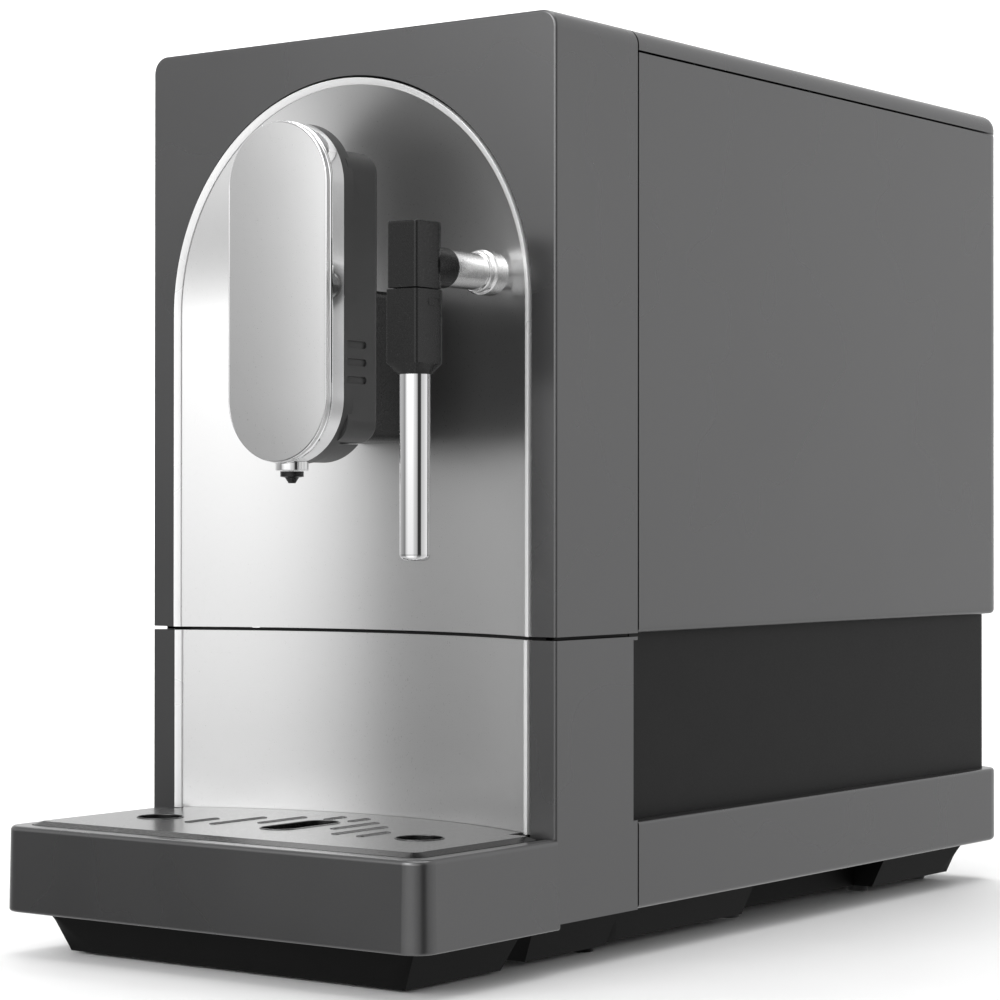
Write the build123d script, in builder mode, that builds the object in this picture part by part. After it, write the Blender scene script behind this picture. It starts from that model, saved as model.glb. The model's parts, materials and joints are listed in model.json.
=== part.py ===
"""Compact bean-to-cup coffee machine, built as separate pieces with real joints.

Frame: +Z up, the machine's front looks along -Y, origin at the centre of its footprint on the floor.
Sizes are millimetres.
"""
import os
from math import radians, sqrt, tan

from build123d import *

# ---------------------------------------------------------------- driving dimensions
WIDTH = 180.0                 # across the painted body
FACE_Y = -125.75              # plane of the front frame
SEAM_Y = FACE_Y + 49.1        # joint between the front frame and the side shell
REAR_Y = 200.75
FLOOR_GAP = 16.4              # height of the painted skirt's lower edge
LEDGE_Z = 46.4                # top of the skirt, where the black waist starts
SPLIT_Z = 110.6               # joint between the upper body and the drawer
LID_Z = 310.9                 # joint below the top cover
TOP_Z = 318.9
WALL = 2.5
JOINT_GAP = 0.8
TOP_RADIUS = 6.0              # long upper edges
REAR_RADIUS = 11.0            # upright rear corners
WAIST_INSET = 6.0             # waist behind the painted sides
WAIST_REAR_INSET = 3.0        # the same at the rear
WAIST_RADIUS = 6.0

ARCH_RADIUS = 79.6            # outer edge of the bright trim round the niche
ARCH_Z = 224.2                # centre of the arch
LIP = 0.9                     # the bright trim stands proud of the painted face
BEVEL_DEPTH = 2.1             # the trim slopes into the niche by this much
FLANGE_BACK = 4.1             # flanges that hold the dished sheets, behind the face
EDGE_RADIUS = 1.0             # upright edges of the painted front
TRIM_WIDTH = 2.4
DISH_RADIUS = 167.0           # hollow of the steel niche panel
DISH_DEPTH = 20.0
SHEET = 1.2

TRAY_FRONT_Y = -200.75
TRAY_HALF = 92.0
TRAY_RADIUS = 8.0             # upright front corners
TRAY_RIM = 6.0                # painted rim round the drip plate
TRAY_DRAFT = 1.0              # degrees that its sides lean in as they go up
TRAY_LOW_Z = 14.9
TRAY_RIM_Z = 44.4
PLATE_Z = 45.7                # top of the drip plate
PLATE_DEPTH = 3.0

SPOUT_HALF = 22.1             # half width of the coffee spout, and its end radius
SPOUT_LOW_Z = 168.9
SPOUT_HIGH_Z = 284.9
SPOUT_FRONT_Y = -161.8
BAND_STEP = 1.9               # the bright band starts this far behind the plate's face
BAND_DEPTH = 8.75
SPOUT_BACK_Y = -132.6
SPOUT_TRAVEL = 38.0

WAND_X = 59.5
WAND_Y = -162.3               # upright axis of the steam tube
ARM_Z = 232.9                 # axis of the steam arm
COFFEE_PORT_Z = 222.0         # coffee hose through the niche, behind the spout's bracket

TANK = (-78.0, -6.0, 66.0, 188.0)      # low x, high x, low y, high y
HOPPER = (-66.0, 66.0, -58.0, 34.5)
BREW_X, BREW_Y = -22.0, -22.0
SHAFT_CLEARANCE = 0.05

half = WIDTH / 2
dish_centre_y = FACE_Y + DISH_DEPTH - DISH_RADIUS
os.makedirs("parts", exist_ok=True)


# ---------------------------------------------------------------- helpers
def save(solid, name):
    """Label a finished piece and write it as its own file."""
    solid.label = name
    export_step(solid, f"parts/{name}.step")


def front_plane(y):
    """A plane facing the viewer of the front: local x is X and local y is Z."""
    return Plane(origin=(0, y, 0), x_dir=(1, 0, 0), z_dir=(0, -1, 0))


def side_plane(x):
    """A plane facing +X: local x is Y and local y is Z."""
    return Plane(origin=(x, 0, 0), x_dir=(0, 1, 0), z_dir=(1, 0, 0))


def level(z):
    return Plane.XY.offset(z)


def rectangle(plane, low, high, radius=0.0):
    """A rectangle between two corners, with all corners rounded when a radius is given."""
    with BuildSketch(plane) as shape:
        with Locations(((low[0] + high[0]) / 2, (low[1] + high[1]) / 2)):
            size = (high[0] - low[0], high[1] - low[1])
            if radius:
                RectangleRounded(*size, radius)
            else:
                Rectangle(*size)
    return shape.sketch


def rear_rounded(plane, half_x, front_y, rear_y, radius):
    """A plan outline whose two rear corners are rounded."""
    with BuildSketch(plane) as shape:
        with Locations((0, (front_y + rear_y) / 2)):
            Rectangle(2 * half_x, rear_y - front_y)
        fillet(shape.vertices().group_by(Axis.Y)[-1], radius)
    return shape.sketch


def top_rounded(plane, half_x, low_z, high_z, radius):
    """A front outline whose two upper corners are rounded."""
    with BuildSketch(plane) as shape:
        with Locations((0, (low_z + high_z) / 2)):
            Rectangle(2 * half_x, high_z - low_z)
        fillet(shape.vertices().group_by(Axis.Y)[-1], radius)
    return shape.sketch


def arch(plane, radius, low_z):
    """A half circle on straight legs."""
    with BuildSketch(plane) as shape:
        with Locations((0, ARCH_Z)):
            Circle(radius)
        with Locations((0, (low_z + ARCH_Z) / 2)):
            Rectangle(2 * radius, ARCH_Z - low_z)
    return shape.sketch


def arch_ring(plane, outer, inner, low_z):
    """The band between two arches."""
    with BuildSketch(plane) as shape:
        add(arch(Plane.XY, outer, low_z))
        add(arch(Plane.XY, inner, low_z), mode=Mode.SUBTRACT)
    return shape.sketch


def disc(plane, centre, radius):
    with BuildSketch(plane) as shape:
        with Locations(centre):
            Circle(radius)
    return shape.sketch


def ring(plane, centre, outer, inner):
    with BuildSketch(plane) as shape:
        with Locations(centre):
            Circle(outer)
            Circle(inner, mode=Mode.SUBTRACT)
    return shape.sketch


def stadium(plane, inset=0.0, low_z=SPOUT_LOW_Z, high_z=SPOUT_HIGH_Z):
    """The spout's front outline, drawn in by an inset."""
    with BuildSketch(plane) as shape:
        with Locations((0, (low_z + high_z) / 2)):
            SlotOverall(high_z - low_z - 2 * inset, 2 * (SPOUT_HALF - inset), rotation=90)
    return shape.sketch


def dish_y(x, extra=0.0):
    """Depth of the dished niche surface at a distance x from the centre line."""
    return dish_centre_y + sqrt((DISH_RADIUS + extra) ** 2 - x ** 2)


def dish_section(plane, reach, front_extra, back_extra):
    """Right half of the dished sheet's plan section, out to a given reach from the centre line."""
    with BuildSketch(plane) as shape:
        with BuildLine():
            middle = reach / 2
            front = ThreePointArc(
                (0, dish_y(0, front_extra)), (middle, dish_y(middle, front_extra)),
                (reach, dish_y(reach, front_extra)))
            back = ThreePointArc(
                (0, dish_y(0, back_extra)), (middle, dish_y(middle, back_extra)),
                (reach, dish_y(reach, back_extra)))
            Line(front @ 0, back @ 0)
            Line(front @ 1, back @ 1)
        make_face()
    return shape.sketch


def tube_along(points, radii, outer, inner=0.0):
    """A round hose along straight runs joined by tangent arcs."""
    with BuildPart() as hose:
        with BuildLine() as route:
            FilletPolyline(*points, radius=radii)
        start = Plane(origin=route.line @ 0, z_dir=route.line % 0)
        with BuildSketch(start):
            Circle(outer)
            if inner:
                Circle(inner, mode=Mode.SUBTRACT)
        sweep(path=route.line)
    return hose.part


# ---------------------------------------------------------------- front frame and niche
with BuildPart() as front_frame:
    depth = SEAM_Y - JOINT_GAP / 2 - FACE_Y
    extrude(top_rounded(front_plane(FACE_Y), half, SPLIT_Z + 0.5, TOP_Z, TOP_RADIUS), amount=-depth)
    fillet(front_frame.faces().sort_by(Axis.Y)[0].edges().filter_by(Axis.X, reverse=True), EDGE_RADIUS)
    inside = top_rounded(front_plane(FACE_Y + 3), half - 3, SPLIT_Z, TOP_Z - 3, TOP_RADIUS - 3)
    extrude(inside, amount=-depth, mode=Mode.SUBTRACT)
    extrude(arch(front_plane(FACE_Y), ARCH_RADIUS + 0.5, SPLIT_Z), amount=-4, mode=Mode.SUBTRACT)
    # seat of the control strip in the roof
    extrude(rectangle(level(TOP_Z + 1), (-60, -112), (60, -88), 4), amount=-8, mode=Mode.SUBTRACT)
save(front_frame.part, "front_frame")

with BuildPart() as niche_panel:
    reach = ARCH_RADIUS - TRIM_WIDTH - 0.15
    profile = dish_section(level(ARCH_Z), reach, 0, SHEET)
    extrude(profile, amount=-(ARCH_Z - SPLIT_Z - 0.5))
    mirror(about=Plane.YZ)
    revolve(profile, axis=Axis((0, 0, ARCH_Z), (0, 1, 0)), revolution_arc=-180)
    with Locations(front_plane(0)):
        with Locations((WAND_X, ARM_Z)):
            Hole(5.2)
        with Locations((0, COFFEE_PORT_Z)):
            Hole(3.6)
save(niche_panel.part, "niche_panel")


def trim_section(plane, outer):
    """Right half of the bright bevelled trim's plan section."""
    inner = outer - TRIM_WIDTH
    with BuildSketch(plane) as shape:
        with BuildLine():
            front = FACE_Y - LIP
            back = front + BEVEL_DEPTH + 1.2
            Polyline(
                (outer, front), (outer - 0.3, front), (inner, front + BEVEL_DEPTH), (inner, back),
                (outer, back),
                close=True)
        make_face()
    return shape.sketch


with BuildPart() as arch_trim:
    profile = trim_section(level(ARCH_Z), ARCH_RADIUS)
    extrude(profile, amount=-(ARCH_Z - SPLIT_Z - 0.5))
    mirror(about=Plane.YZ)
    revolve(profile, axis=Axis((0, 0, ARCH_Z), (0, 1, 0)), revolution_arc=-180)
save(arch_trim.part, "arch_trim")

with BuildPart() as panel_carrier:
    profile = dish_section(level(ARCH_Z), ARCH_RADIUS - 4.5, SHEET + 0.2, SHEET + 3.2)
    extrude(profile, amount=-(ARCH_Z - SPLIT_Z - 0.5))
    mirror(about=Plane.YZ)
    revolve(profile, axis=Axis((0, 0, ARCH_Z), (0, 1, 0)), revolution_arc=-180)
    with Locations(front_plane(0)):
        with Locations((WAND_X, ARM_Z)):
            Hole(5.2)
        with Locations((0, COFFEE_PORT_Z)):
            Hole(3.6)
    # flange that closes the arch from behind and is screwed to the frame
    flange = arch_ring(front_plane(FACE_Y + FLANGE_BACK), ARCH_RADIUS + 6.0, ARCH_RADIUS - 5.0, SPLIT_Z + 0.5)
    extrude(flange, amount=-2.5)
save(panel_carrier.part, "panel_carrier")

# ---------------------------------------------------------------- side shell, top cover, waist and skirt
with BuildPart() as side_shell:
    low = SPLIT_Z + 0.3
    shell_front = SEAM_Y + JOINT_GAP / 2
    extrude(
        rear_rounded(level(low), half, shell_front, REAR_Y, REAR_RADIUS), amount=LID_Z - JOINT_GAP / 2 - low)
    lower_rim = side_shell.faces().sort_by(Axis.Z)[0].edges().sort_by(Axis.Y)[-1]
    fillet(lower_rim, 2.0)
    inner = rear_rounded(level(low - 1), half - WALL, shell_front - 1, REAR_Y - WALL, REAR_RADIUS - WALL)
    extrude(inner, amount=LID_Z, mode=Mode.SUBTRACT)
    # air slots in the rear wall
    with BuildSketch(front_plane(REAR_Y - 6)):
        with Locations((36, 160)):
            with GridLocations(8, 0, 9, 1):
                SlotOverall(44, 2.6, rotation=90)
    extrude(amount=-10, mode=Mode.SUBTRACT)
save(side_shell.part, "side_shell")


def lid_opening(box, clearance):
    """Low and high corners of a lid's opening in plan."""
    return (box[0] - clearance, box[2] - clearance), (box[1] + clearance, box[3] + clearance)


PIN_RADIUS = 1.5
PIN_Z = TOP_Z - 3.0
PIN_BACK = 3.6                # hinge axis in front of a lid's rear edge
hopper_pin_y = HOPPER[3] - PIN_BACK
tank_lid_box = (TANK[0] + 4.0, TANK[1] - 4.0, TANK[2] + 4.0, TANK[3] - 4.0)
tank_pin_y = tank_lid_box[3] - PIN_BACK


with BuildPart() as top_cover:
    low = LID_Z + JOINT_GAP / 2
    thickness = TOP_Z - low
    extrude(rear_rounded(level(low), half, shell_front, REAR_Y, REAR_RADIUS), amount=thickness)
    upper_edges = top_cover.faces().sort_by(Axis.Z)[-1].edges()
    fillet(upper_edges.sort_by(Axis.Y)[1:], TOP_RADIUS)
    # hollow underside, with solid rims left round both openings
    with BuildSketch(level(low)):
        add(rear_rounded(Plane.XY, half - WALL, shell_front + WALL, REAR_Y - WALL, REAR_RADIUS - WALL))
        for box in (HOPPER, TANK):
            with Locations(((box[0] + box[1]) / 2, (box[2] + box[3]) / 2)):
                Rectangle(box[1] - box[0] + 10, box[3] - box[2] + 10, mode=Mode.SUBTRACT)
    extrude(amount=thickness - WALL, mode=Mode.SUBTRACT)
    extrude(rectangle(level(low - 1), *lid_opening(HOPPER, 1.2), 5), amount=12, mode=Mode.SUBTRACT)
    extrude(rectangle(level(low - 1), *lid_opening(TANK, 1.0), 7), amount=12, mode=Mode.SUBTRACT)
    hole = disc(side_plane(0), (hopper_pin_y, PIN_Z), PIN_RADIUS + SHAFT_CLEARANCE)
    extrude(hole, amount=HOPPER[1] + 4, both=True, mode=Mode.SUBTRACT)
save(top_cover.part, "top_cover")

waist_half = half - WAIST_INSET
waist_back = REAR_Y - WAIST_REAR_INSET
with BuildPart() as waist_cover:
    low = LEDGE_Z - 6
    front = SEAM_Y + 3.2
    extrude(rear_rounded(level(low), waist_half, front, waist_back, WAIST_RADIUS), amount=SPLIT_Z + 6 - low)
    inner = rear_rounded(
        level(low - 1), waist_half - WALL, front + WALL, waist_back - WALL, WAIST_RADIUS - WALL)
    extrude(inner, amount=90, mode=Mode.SUBTRACT)
    # doorway for the grounds drawer, and seats of the inlet and the rocker at the back
    extrude(
        rectangle(front_plane(front - 1), (-74, low - 1), (74, SPLIT_Z + 1)), amount=-6, mode=Mode.SUBTRACT)
    extrude(
        rectangle(front_plane(REAR_Y - 20), (34.0, 62.0), (62.0, 82.0), 2), amount=-20, mode=Mode.SUBTRACT)
    extrude(rectangle(front_plane(REAR_Y - 20), (6.0, 64.0), (25.0, 80.0), 1), amount=-20, mode=Mode.SUBTRACT)
save(waist_cover.part, "waist_cover")

with BuildPart() as base_skirt:
    height = LEDGE_Z - FLOOR_GAP
    extrude(rear_rounded(level(FLOOR_GAP), half, shell_front, REAR_Y, REAR_RADIUS), amount=height)
    rim = base_skirt.faces().sort_by(Axis.Z)[-1].edges().sort_by(Axis.Y)[1:]
    fillet(rim, 1.2)
    low_rim = base_skirt.faces().sort_by(Axis.Z)[0].edges().sort_by(Axis.Y)[1:]
    fillet(low_rim, 2.0)
    inner = rear_rounded(
        level(FLOOR_GAP - 1), half - WALL, shell_front - 1, REAR_Y - WALL, REAR_RADIUS - WALL)
    extrude(inner, amount=height - WALL + 1, mode=Mode.SUBTRACT)
    ledge_hole = rear_rounded(
        level(LEDGE_Z - 4), waist_half + 0.2, shell_front - 1, waist_back + 0.2, WAIST_RADIUS + 0.2)
    extrude(ledge_hole, amount=6, mode=Mode.SUBTRACT)
save(base_skirt.part, "base_skirt")

# ---------------------------------------------------------------- chassis and feet
CHASSIS_LOW_Z = 3.0
CHASSIS_SLANT = 26.0          # degrees that its sides lean in


def slanted_block(top_z, low_z, half_x, front_y, rear_y):
    """A block whose four sides lean inwards as they go down."""
    with BuildPart() as block:
        outline = rectangle(level(top_z), (-half_x, front_y), (half_x, rear_y), 3)
        extrude(outline, amount=-(top_z - low_z), taper=CHASSIS_SLANT)
    return block.part


with BuildPart() as chassis_base:
    add(slanted_block(FLOOR_GAP, CHASSIS_LOW_Z, 79.0, -77.6, 190.0))
    slot = rectangle(side_plane(95), (19.5, 0), (119.5, FLOOR_GAP - 2))
    extrude(slot, amount=-31, mode=Mode.SUBTRACT)
    mirrored_slot = rectangle(side_plane(-95), (19.5, 0), (119.5, FLOOR_GAP - 2))
    extrude(mirrored_slot, amount=31, mode=Mode.SUBTRACT)
    # square the front end, where the drawer's chassis meets it
    extrude(rectangle(level(-1), (-90, -90), (90, -70.9)), amount=FLOOR_GAP + 2, mode=Mode.SUBTRACT)
    # floor plate that carries the works
    extrude(rectangle(level(FLOOR_GAP), (-86, -70.9), (86, 187)), amount=2)
    # hollow underside between the side rails
    hollow = rectangle(level(CHASSIS_LOW_Z - 1), (-50, -55), (50, 170), 4)
    extrude(hollow, amount=FLOOR_GAP - CHASSIS_LOW_Z - 1, mode=Mode.SUBTRACT)
    foot_seats = [(x, y) for x in (-61, 61) for y in (-64.5, 28, 128, 176)]
    with BuildSketch(level(CHASSIS_LOW_Z)):
        with Locations(foot_seats):
            Circle(4.6)
    extrude(amount=1.5, mode=Mode.SUBTRACT)
save(chassis_base.part, "chassis_base")

with BuildPart() as rubber_feet:
    with BuildSketch(level(0)):
        with Locations(foot_seats):
            Circle(4.4)
    extrude(amount=CHASSIS_LOW_Z + 1.4)
    fillet(rubber_feet.faces().group_by(Axis.Z)[0].edges(), 0.5)
save(rubber_feet.part, "rubber_feet")

# ---------------------------------------------------------------- drawer: lower front, tray and grounds box
LOWER_TOP_Z = SPLIT_Z - 0.7
LOWER_ARCH = ARCH_RADIUS - 0.5

with BuildPart() as lower_front:
    depth = SEAM_Y - JOINT_GAP / 2 - FACE_Y
    extrude(rectangle(front_plane(FACE_Y), (-half, FLOOR_GAP), (half, LOWER_TOP_Z)), amount=-depth)
    fillet(lower_front.faces().sort_by(Axis.Y)[0].edges().filter_by(Axis.Z), EDGE_RADIUS)
    # finger grips along both rear edges, above the skirt
    for side in (-1, 1):
        with BuildSketch(level(LEDGE_Z + 0.6)):
            with Locations((side * half, SEAM_Y - JOINT_GAP / 2)):
                Circle(2.6)
        extrude(amount=LOWER_TOP_Z - LEDGE_Z - 1.8, mode=Mode.SUBTRACT)
    inside = rectangle(
        front_plane(FACE_Y + 3), (-half + 5.5, FLOOR_GAP + WALL), (half - 5.5, LOWER_TOP_Z + 1))
    extrude(inside, amount=-depth, mode=Mode.SUBTRACT)
    low, high = (-LOWER_ARCH - 0.4, TRAY_LOW_Z + 6), (LOWER_ARCH + 0.4, LOWER_TOP_Z + 1)
    opening = rectangle(front_plane(FACE_Y - 1), low, high)
    extrude(opening, amount=-6, mode=Mode.SUBTRACT)
save(lower_front.part, "lower_front")

with BuildPart() as lower_panel:
    profile = dish_section(level(LOWER_TOP_Z), LOWER_ARCH - TRIM_WIDTH - 0.15, 0, SHEET)
    extrude(profile, amount=-(LOWER_TOP_Z - PLATE_Z + 5))
    mirror(about=Plane.YZ)
save(lower_panel.part, "lower_panel")

with BuildPart() as lower_trim:
    profile = trim_section(level(LOWER_TOP_Z), LOWER_ARCH)
    extrude(profile, amount=-(LOWER_TOP_Z - PLATE_Z + 0.2))
    mirror(about=Plane.YZ)
save(lower_trim.part, "lower_trim")

with BuildPart() as lower_carrier:
    carrier_top = SPLIT_Z + 0.2
    profile = dish_section(level(carrier_top), LOWER_ARCH - 4.5, SHEET + 0.2, SHEET + 3.2)
    extrude(profile, amount=-(carrier_top - 23.4))
    mirror(about=Plane.YZ)
    for side in (-1, 1):
        near, far = sorted((side * (LOWER_ARCH - 5), side * (LOWER_ARCH + 4)))
        extrude(
            rectangle(front_plane(FACE_Y + FLANGE_BACK), (near, 24), (far, carrier_top)), amount=-2.5)
save(lower_carrier.part, "lower_carrier")

with BuildPart() as drip_tray:
    back = FACE_Y - 0.3
    with BuildSketch(level(TRAY_LOW_Z)) as outline:
        with Locations((0, (TRAY_FRONT_Y + back) / 2)):
            Rectangle(2 * TRAY_HALF, back - TRAY_FRONT_Y)
        fillet(outline.vertices().group_by(Axis.Y)[0], TRAY_RADIUS)
    extrude(amount=TRAY_RIM_Z - TRAY_LOW_Z, taper=TRAY_DRAFT)
    rim = drip_tray.faces().sort_by(Axis.Z)[-1].edges().sort_by(Axis.Y)[:-1]
    fillet(rim, 1.6)
    low_rim = drip_tray.faces().sort_by(Axis.Z)[0].edges().sort_by(Axis.Y)[:-1]
    fillet(low_rim, 1.0)
    basin_half = TRAY_HALF - TRAY_RIM
    basin = rectangle(
        level(TRAY_LOW_Z + 2.5), (-basin_half, TRAY_FRONT_Y + TRAY_RIM), (basin_half, back - 2.5), 6)
    extrude(basin, amount=40, mode=Mode.SUBTRACT)
    # low rear wall, so that the plate reaches back to the panel
    notch = rectangle(level(PLATE_Z - PLATE_DEPTH - 0.3), (-basin_half, back - 12), (basin_half, back + 1))
    extrude(notch, amount=10, mode=Mode.SUBTRACT)
save(drip_tray.part, "drip_tray")

with BuildPart() as drawer_chassis:
    add(slanted_block(FLOOR_GAP, 2.0, 79.6, -126.0, -60.0))
    extrude(rectangle(level(-1), (-90, -71.5), (90, -40)), amount=FLOOR_GAP + 2, mode=Mode.SUBTRACT)
    with BuildSketch(level(0)):
        with Locations((-66, -76), (66, -76)):
            Circle(4)
    extrude(amount=3)
    pocket = rectangle(level(0), (-55, -112), (55, -82), 6)
    extrude(pocket, amount=FLOOR_GAP - 3, mode=Mode.SUBTRACT)
    # shallower block under the overhanging tray
    add(slanted_block(TRAY_LOW_Z, 1.0, 80.0, -191.5, -127.0))
    tray_pocket = rectangle(level(0), (-60, -176), (60, -142), 6)
    extrude(tray_pocket, amount=TRAY_LOW_Z - 3, mode=Mode.SUBTRACT)
    # floor under the grounds box
    extrude(rectangle(level(FLOOR_GAP + 2.5), (-70, -118), (70, 14), 4), amount=1.2)
save(drawer_chassis.part, "drawer_chassis")

GROUNDS = (-62.0, 62.0, -100.0, 14.0, 20.2, 104.0)
with BuildPart() as grounds_box:
    outer = rectangle(level(GROUNDS[4]), (GROUNDS[0], GROUNDS[2]), (GROUNDS[1], GROUNDS[3]), 8)
    extrude(outer, amount=GROUNDS[5] - GROUNDS[4])
    inner = rectangle(
        level(GROUNDS[4] + 2), (GROUNDS[0] + 2, GROUNDS[2] + 2), (GROUNDS[1] - 2, GROUNDS[3] - 2), 6)
    extrude(inner, amount=200, mode=Mode.SUBTRACT)
save(grounds_box.part, "grounds_box")

# drip plate: its rear edge follows the dished panel
PLATE_HALF = TRAY_HALF - TRAY_RIM - 0.5
BORDER_DROP = 1.25
BORDER_ANGLE = 70.0           # degrees off vertical of the plate's sloping border
with BuildPart() as drip_plate:
    plate_front = TRAY_FRONT_Y + TRAY_RIM + 0.5
    plate_back = FACE_Y - 1.2
    low = (-PLATE_HALF, plate_front)
    high = (PLATE_HALF, plate_back)
    extrude(rectangle(level(PLATE_Z - BORDER_DROP), low, high, 5.5), amount=BORDER_DROP - PLATE_DEPTH)
    extrude(rectangle(level(PLATE_Z - BORDER_DROP), low, high, 5.5), amount=BORDER_DROP, taper=BORDER_ANGLE)
    with BuildSketch(level(PLATE_Z)):
        with BuildLine():
            reach = 74.0
            edge = ThreePointArc(
                (-reach, dish_y(reach, -0.5)), (0, dish_y(0, -0.5)), (reach, dish_y(reach, -0.5)))
            Polyline(edge @ 1, (reach, plate_back - 12), (-reach, plate_back - 12), edge @ 0)
        make_face()
    extrude(amount=-PLATE_DEPTH)
    with BuildSketch(level(PLATE_Z)):
        with Locations((-57.4, -157.0), (57.4, -157.0)):
            Circle(7.75)
        with Locations((0, -149.2)):
            SlotOverall(34, 13, rotation=90)
        for x, low_y, high_y in (
                (5.4, -129.0, -119.0), (16.2, -151.5, -127.5), (27.0, -164.0, -136.5),
                (38.0, -164.5, -149.0)):
            with Locations((x, (low_y + high_y) / 2), (-x, (low_y + high_y) / 2)):
                SlotOverall(high_y - low_y, 1.8, rotation=90)
    extrude(amount=-4, mode=Mode.SUBTRACT)
save(drip_plate.part, "drip_plate")

with BuildPart() as tray_float:
    extrude(rectangle(level(TRAY_LOW_Z + 3.0), (-5.5, -164), (5.5, -136), 5), amount=14)
    fillet(tray_float.faces().sort_by(Axis.Z)[-1].edges(), 1.5)
save(tray_float.part, "tray_float")

# ---------------------------------------------------------------- coffee spout
BRACKET = (-11.0, 11.0, 176.9, 229.5)
BODY_LOW_Z, BODY_HIGH_Z = 175.9, 275.3
NOZZLE_Y = -153.75
band_back_y = SPOUT_FRONT_Y + BAND_DEPTH

with BuildPart() as spout_bracket:
    neck = rectangle(front_plane(SPOUT_BACK_Y - 3.0), (BRACKET[0], BRACKET[2]), (BRACKET[1], BRACKET[3]), 2.5)
    extrude(neck, amount=-(dish_y(11) - 0.15 - (SPOUT_BACK_Y - 3.0)))
    head = rectangle(front_plane(SPOUT_BACK_Y - 6.0), (-14, BRACKET[2] + 3), (14, BRACKET[3] - 3), 3)
    extrude(head, amount=-3.2)
    with Locations(front_plane(SPOUT_BACK_Y - 7.0)):
        with Locations((0, COFFEE_PORT_Z)):
            Hole(3.4)
save(spout_bracket.part, "spout_bracket")

with BuildPart() as spout_body:
    # front flange with the stadium outline of the band
    extrude(stadium(front_plane(band_back_y + 0.15)), amount=-5.0)
    # box behind the flange, with rounded upright and upper edges
    box_front = band_back_y + 3.0
    box = rectangle(
        front_plane(box_front), (-SPOUT_HALF + 0.7, BODY_LOW_Z), (SPOUT_HALF - 0.7, BODY_HIGH_Z), 7.5)
    extrude(box, amount=-(SPOUT_BACK_Y - box_front))
    fillet(spout_body.faces().sort_by(Axis.Y)[-1].edges(), 3.0)
    inner = rectangle(front_plane(band_back_y - 1), (-17.2, BODY_LOW_Z + 2.2), (17.2, BODY_HIGH_Z - 2.5), 5)
    extrude(inner, amount=-(SPOUT_BACK_Y - 2.5 - band_back_y + 1), mode=Mode.SUBTRACT)
    # slot that lets the whole spout run down past the fixed neck
    slot_top = BRACKET[3] + SPOUT_TRAVEL + 0.4
    slot = rectangle(
        front_plane(SPOUT_BACK_Y - 4), (BRACKET[0] - 0.4, BODY_LOW_Z - 8), (BRACKET[1] + 0.4, slot_top))
    extrude(slot, amount=-8, mode=Mode.SUBTRACT)
    # passage of the duct through the flange
    extrude(disc(level(SPOUT_LOW_Z - 1), (0, NOZZLE_Y), 2.4), amount=12, mode=Mode.SUBTRACT)
    # three grip grooves on each side
    for side in (-1, 1):
        for step in (-1, 0, 1):
            with BuildSketch(side_plane(side * (SPOUT_HALF - 0.7 - 0.7))):
                with Locations((-145.8, 203.0 + 6.0 * step)):
                    SlotOverall(11.5, 2.5)
            extrude(amount=side * 3, mode=Mode.SUBTRACT)
save(spout_body.part, "spout_body")

with BuildPart() as spout_lower_cover:
    cover_front = band_back_y + 5.3
    extrude(stadium(front_plane(cover_front), 0.6), amount=-(SPOUT_BACK_Y - 3.0 - cover_front))
    above = rectangle(front_plane(band_back_y), (-30, BODY_LOW_Z - 0.25), (30, SPOUT_HIGH_Z + 5))
    extrude(above, amount=-30, mode=Mode.SUBTRACT)
    fillet(spout_lower_cover.faces().sort_by(Axis.Y)[-1].edges(), 1.2)
save(spout_lower_cover.part, "spout_lower_cover")

with BuildPart() as spout_band:
    extrude(stadium(front_plane(SPOUT_FRONT_Y + BAND_STEP)), amount=-(BAND_DEPTH - BAND_STEP))
    fillet(spout_band.faces().sort_by(Axis.Y)[0].edges(), 1.1)
    extrude(stadium(front_plane(SPOUT_FRONT_Y), 1.5), amount=-BAND_DEPTH, mode=Mode.SUBTRACT)
    extrude(disc(level(SPOUT_LOW_Z - 1), (0, NOZZLE_Y), 2.25), amount=6, mode=Mode.SUBTRACT)
save(spout_band.part, "spout_band")

with BuildPart() as spout_plate:
    extrude(stadium(front_plane(SPOUT_FRONT_Y), 0.35), amount=-(BAND_STEP - 0.3))
    fillet(spout_plate.faces().sort_by(Axis.Y)[0].edges(), 0.5)
    # pad that sits inside the band
    extrude(stadium(front_plane(SPOUT_FRONT_Y + 1.0), 1.75), amount=-2.6)
save(spout_plate.part, "spout_plate")

with BuildPart() as spout_collar:
    extrude(ring(level(166.5), (0, NOZZLE_Y), 5.7, 2.2), amount=4.0)
    extrude(stadium(front_plane(SPOUT_FRONT_Y - 5), -0.05), amount=-20, mode=Mode.SUBTRACT)
    fillet(spout_collar.faces().sort_by(Axis.Z)[0].edges().sort_by(SortBy.LENGTH)[-1], 0.4)
save(spout_collar.part, "spout_collar")

with BuildPart() as spout_nozzle:
    with BuildSketch(front_plane(NOZZLE_Y)):
        with BuildLine():
            Polyline((1.2, 166.3), (4.0, 166.3), (4.0, 164.5), (2.4, 164.2), (1.2, 162.3), close=True)
        make_face()
    revolve(axis=Axis((0, NOZZLE_Y, 0), (0, 0, 1)))
save(spout_nozzle.part, "spout_nozzle")

with BuildPart() as spout_duct:
    extrude(ring(level(170.7), (0, NOZZLE_Y), 2.3, 1.5), amount=91)
    extrude(ring(level(167.0), (0, NOZZLE_Y), 2.1, 1.5), amount=3.7)
save(spout_duct.part, "spout_duct")

# ---------------------------------------------------------------- steam arm and wand
ARM_RADIUS = 6.2
collar_back = dish_y(WAND_X + 9.8) - 0.1
socket_back = FACE_Y - 21.0

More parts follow.
